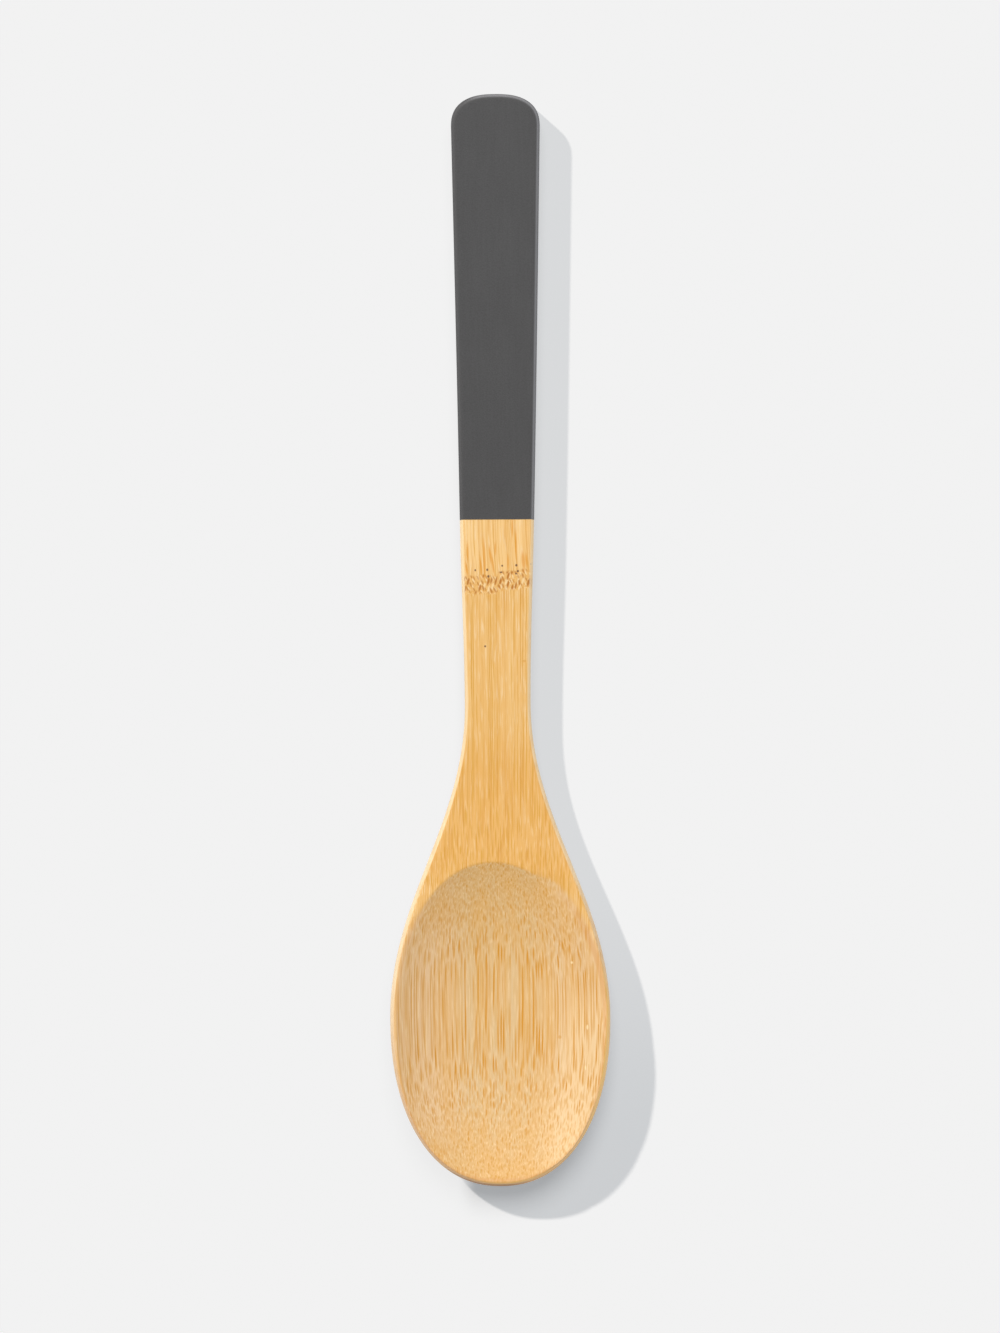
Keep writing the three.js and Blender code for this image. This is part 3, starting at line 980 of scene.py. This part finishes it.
def addEdges(tree, at, wood):
    shares = bamboo["shares"]
    # a thin dark warm line of painted shade round the hollow's lower rim, and the pale land left of it
    rimShadeLine = fade(tree, at["hollow"], "rimShadeInside"), fade(tree, at["hollow"], "rimShadeOutside")
    wood = tint(tree, wood, "rimShadeLine", *rimShadeLine, fade(tree, at["y"], "rimShadeAlong"), shares["rimShadeLine"])
    leftLand = fade(tree, at["hollow"], "landOutside"), fade(tree, at["x"], "landLeft")
    landPart = fade(tree, at["offset"], "landFoot"), fade(tree, at["offset"], "landTop")
    wood = tint(tree, wood, "edge", *leftLand, *landPart, shares["leftLand"])

    # pale worn edges outside the hollow, which keep to their outermost part round the bowl. The same tint
    # is also a painted highlight, strongest on the left edges, which face the light
    rounded, outermost = (
        place(tree, roundedEdges, {"Normal": at["normal"], **bamboo[k]}).outputs[0]
        for k in ("roundedEdge", "outermostEdge")
    )
    nearTop = times(tree, fade(tree, at["depth"], "nearTop"), fade(tree, at["hollow"], "outsideRim"))
    nearFoot = times(tree, fade(tree, at["z"], "nearFoot"), fade(tree, at["y"], "handleFoot"))
    wornAndLitEdges = times(tree, rounded, calc(tree, "MAXIMUM", nearTop, nearFoot))
    atBowl = fade(tree, at["offset"], "bowlwards")
    wornAndLitEdges = times(tree, wornAndLitEdges, between(tree, atBowl, 0.0, 1.0, 1.0, outermost))
    # more of the pale tint on the left edges: painted highlight where they face the light
    leftWearAndHighlight = fade(tree, at["offset"], "bowlwards", *shares["leftWearAndHighlight"])
    leftWearAndHighlight = times(tree, leftWearAndHighlight, fade(tree, at["offset"], "leftWearTip"))
    wearAndHighlight = fade(tree, at["facing"][0], "rightToLeft", fade(tree, at["y"], "rightWearAndHighlight"), leftWearAndHighlight)
    wood = tint(tree, wood, "edge", wornAndLitEdges, wearAndHighlight, fade(tree, at["waxing"], "wearWaxing"))
    # the rim at the tip and lower right is laid warm and pale: partly worn wood, partly painted light
    # where it faces away from the lamps
    lower = fade(tree, at["facing"][1], "facingTip"), fade(tree, at["offset"], "lowerBowl")
    lowerRight = calc(tree, "MAXIMUM", *lower), fade(tree, at["facing"][0], "facingRight")
    wood = tint(tree, wood, "tipEdgeWearAndLight", rounded, nearTop, *lowerRight, shares["foreEdgeWearAndLight"])

    # the fibres are cut across at the bowl's tip, and darker there
    cutEnds = fade(tree, at["facing"][1], "endsFacing"), fade(tree, at["facing"][0], "endsLeft")
    endsDepth = fade(tree, at["depth"], "endsDepth")
    return tint(tree, wood, "endGrain", rounded, *cutEnds, endsDepth, shares["cutEnds"]), wornAndLitEdges


def finishBlank():
    tree = newMaterial("bambooWood", blank)
    at = measureWood(tree)
    coarse, fine = bundleMasks(tree, at)
    wood = tint(tree, woodGround(tree, at), "fineBundle", fine)
    wood = tint(tree, wood, "bundle", coarse)
    wood, dashes = addNode(tree, at, wood)
    wood, wornAndLitEdges = addEdges(tree, at, addMarks(tree, at, wood))

    rough, relief = bamboo["roughness"], bamboo["relief"]
    level = rough["ground"]
    for mask, name in ((fine, "fine"), (at["silk"], "silk"), (wornAndLitEdges, "wornAndLitEdges")):
        level = addShare(tree, mask, rough[name], level)
    height = calc(tree, "ADD", times(tree, coarse, relief["coarse"]), times(tree, fine, relief["fine"]))
    height = addShare(tree, at["silk"], relief["silk"], height)
    height = addShare(tree, dashes, relief["dashes"], height)
    finishShader(tree, wood, level, height, bamboo)


# Matte grey paint over the grip
paint = {
    "body": colour(52.5, 52, 52),
    "thin": colour(126, 125.5, 128),  # lighter grey: the grain and speckle, and a painted sheen on the edges, where the coat is also thinner
    "darkMottleAndShade": colour(38, 37, 37),
    "roughness": 0.6,
    "speckleRoughness": 0.14,
    "specular": 0.5,
    "sheen": 0.05,
    "path": {"Sway": 2.2, "Waver": 0.3, "Lean": 0.0, "Dive": 0.0, "Node Height": 15.6},
    "grain": {"Width": 0.7, "Length": 16.0, "Depth": 1.2, "Detail": 2.0},
    "cloud": {"Width": 7.0, "Length": 14.0, "Depth": 7.0, "Detail": 3.0},
    "speckle": {"Width": 0.42, "Length": 0.42, "Depth": 0.42, "Detail": 1.0},
    "grainShare": 0.025,
    "cloudShare": 0.35,
    "speckleShare": 0.11,
    "shadeTowardsLine": (140.0, 34.0, 0.0, 0.45),  # painted shade, from the grip's end to its start
    "roundedEdge": {"Level": 0.996, "Steep": 0.8},
    "steepEdge": {"Level": 0.8, "Steep": 0.3},
    "steepEdgeSheen": 0.4,
    "leftEdgeSheen": 0.15,
    "leftward": (0.0, -0.4),
    "grainRelief": 0.3,
    "speckleRelief": 0.6,
    "bump": {"Strength": 0.3, "Distance": 0.0001},
}


def finishCoat():
    tree = newMaterial("greyPaint", coat)
    spot = put(tree, "TexCoord").outputs
    path = place(tree, fibrePath, {"Vector": spot["Object"], **paint["path"]}).outputs
    y = split(tree, path["Plain"])[1]
    grain = streaks(tree, path["Vector"], paint["grain"])
    cloud = streaks(tree, path["Plain"], paint["cloud"])
    speckle = streaks(tree, path["Plain"], paint["speckle"])
    # the body darkens in a loose mottle, and as painted shade towards the paint line
    shadeTowardsLine = between(tree, y, *paint["shadeTowardsLine"])
    mottleAndShade = calc(tree, "ADD", times(tree, cloud, paint["cloudShare"]), shadeTowardsLine)
    body = mixColour(tree, mottleAndShade, paint["body"], paint["darkMottleAndShade"])
    body = mixColour(tree, times(tree, grain, paint["grainShare"]), body, paint["thin"])
    body = mixColour(tree, times(tree, speckle, paint["speckleShare"]), body, paint["thin"])
    # painted sheen: the coat's rounded edges are laid lighter, less on the steep sides and on the left,
    # which the light already reaches
    rounded, steep = (
        place(tree, roundedEdges, {"Normal": spot["Normal"], **paint[k]}).outputs[0]
        for k in ("roundedEdge", "steepEdge")
    )
    facing = split(tree, spot["Normal"])[0]
    leftward = between(tree, facing, *paint["leftward"])
    steepPart = between(tree, steep, 0.0, 1.0, 1.0, paint["steepEdgeSheen"])
    leftPart = between(tree, leftward, 0.0, 1.0, 1.0, paint["leftEdgeSheen"])
    body = mixColour(tree, times(tree, rounded, steepPart, leftPart), body, paint["thin"])
    level = addShare(tree, speckle, paint["speckleRoughness"], paint["roughness"])
    height = times(tree, grain, paint["grainRelief"])
    height = addShare(tree, speckle, paint["speckleRelief"], height)
    finishShader(tree, body, level, height, paint)


finishBlank()
finishCoat()
print("finishes made")

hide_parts("bamboo_blank")
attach(blank, "root")
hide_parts("handle_coat")
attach(coat, "root")

# Studio: a pale floor, a warm sun from the upper left, and soft cool light from beyond the handle and
# from above. The light from above is the spoon's alone: the floor glows in its place, and so keeps the
# shadows of the other two
studio = {
    "pale": 0.887,
    "shadowNear": 1.2,  # how strongly the floor takes the lamps, here at the bowl
    "shadowFar": 0.84,  # at the grip
    "shadowFrom": (-0.15, -0.055),
    "shadowLeft": 0.3,  # left of the spoon, where the photo's paper stays pale
    "leftFrom": (-0.0125, -0.0065),
    "floorSize": 6.0,
    "skyShare": 0.03,  # shares are of the light on level surfaces, and come to about 1
    "sunColour": (1.056, 1.0, 0.943),
    "softColour": (0.984, 1.0, 1.016),
    "cameraHeight": 2500.0,
    "cameraAt": (0.45, -7.27),
    "cameraRoll": -0.32,
    "pictureHeight": 365.9,  # seen from top to bottom at the level of the rim
    "rimLevel": 9.0,
    "sensor": 36.0,
    "nearest": 0.1,
    "farthest": 20.0,
}

# Lamps: share, height and spread in degrees, where from, what it lights
lamps = {
    "windowSun": (0.25, 33.0, 2.2, (-0.74, 0.67), "both"),
    "broadFill": (0.22, 57.0, 36.0, (0.08, 1.0), "both"),
    "softTop": (0.485, 71.5, 178.0, (0.959, -0.284), "spoon"),
}


def addSun(name, share, height, spread, comesFrom, shade):
    lamp = bpy.data.lights.new(name, "SUN")
    lamp.energy = share * math.pi / math.sin(math.radians(height))
    lamp.angle = math.radians(spread)
    lamp.color = shade
    sun = addObject(name, lamp)
    turn = math.atan2(comesFrom[1], comesFrom[0]) + math.pi / 2
    sun.rotation_euler = (math.radians(90 - height), 0, turn)
    return sun


def buildStudio():
    size = studio["floorSize"] / 2
    floorMesh = bpy.data.meshes.new("floor")
    corners = [(-size, -size, 0), (size, -size, 0), (size, size, 0), (-size, size, 0)]
    floorMesh.from_pydata(corners, [], [(0, 1, 2, 3)])
    floor = addObject("floor", floorMesh)
    tree = newMaterial("palePaper", floor)
    # the floor takes part of the lamps' light and glows by as much as it leaves, so it looks even
    place3 = split(tree, put(tree, "TexCoord").outputs["Object"])
    near = between(tree, place3[1], studio["shadowFrom"][1], studio["shadowFrom"][0])
    aside = between(tree, place3[0], studio["leftFrom"][1], studio["leftFrom"][0])
    sun, fill = lamps["windowSun"][0], lamps["broadFill"][0]
    tints = zip(studio["sunColour"], studio["softColour"])
    light = [sun * a + fill * b + studio["skyShare"] for a, b in tints]

    def floorShade(taken):
        glow = tuple(studio["pale"] * (1 - taken * part) for part in light) + (1,)
        return (studio["pale"] * taken,) * 3 + (1,), glow

    tones = (floorShade(studio[k]) for k in ("shadowFar", "shadowNear", "shadowLeft"))
    paper, glow = (
        mixColour(tree, aside, mixColour(tree, near, far, close), left)
        for far, close, left in zip(*tones)
    )
    paper = put(tree, "BsdfDiffuse", {"Color": paper})
    glow = put(tree, "Emission", {"Color": glow})
    lit = put(tree, "AddShader", {0: paper.outputs[0], 1: glow.outputs[0]})
    clear = put(tree, "BsdfTransparent")
    behind = put(tree, "NewGeometry").outputs["Backfacing"]
    shown = put(tree, "MixShader", {0: behind, 1: lit.outputs[0], 2: clear.outputs[0]})
    put(tree, "OutputMaterial", {"Surface": shown.outputs[0]})

    world = bpy.data.worlds.new("studioSky")
    bpy.context.scene.world = world
    world.use_nodes = True
    tree = world.node_tree
    tree.nodes.clear()
    path = put(tree, "LightPath").outputs
    seen = calc(tree, "MAXIMUM", path["Is Camera Ray"], path["Is Transmission Ray"])
    seen = calc(tree, "MAXIMUM", seen, path["Is Glossy Ray"])
    strength = put(tree, "Mix", {0: seen, 2: studio["skyShare"] / studio["pale"], 3: 1.0}).outputs[0]
    pale = (studio["pale"],) * 3 + (1,)
    backdrop = put(tree, "Background", {"Color": pale, "Strength": strength})
    put(tree, "OutputWorld", {"Surface": backdrop.outputs[0]})

    spoonOnly = bpy.data.collections.new("spoonOnly")
    for piece in (blank, coat):
        spoonOnly.objects.link(piece)
        piece.visible_diffuse = False  # no tinted glow from its sides on the floor
    for name, (share, height, spread, comesFrom, target) in lamps.items():
        shade = studio["sunColour" if name == "windowSun" else "softColour"]
        lamp = addSun(name, share, height, spread, comesFrom, shade)
        if target == "spoon":
            lamp.light_linking.receiver_collection = spoonOnly

    lens = bpy.data.cameras.new("overhead")
    lens.sensor_width = studio["sensor"]
    lens.lens = studio["sensor"] * (studio["cameraHeight"] - studio["rimLevel"]) / studio["pictureHeight"]
    lens.clip_start, lens.clip_end = studio["nearest"], studio["farthest"]
    camera = addObject("overhead", lens)
    camera.location = [size * mm for size in (*studio["cameraAt"], studio["cameraHeight"])]
    camera.rotation_euler = (0, 0, math.radians(studio["cameraRoll"]))
    bpy.context.scene.camera = camera
    bpy.context.scene.view_settings.view_transform = "Standard"


buildStudio()
print("studio set")
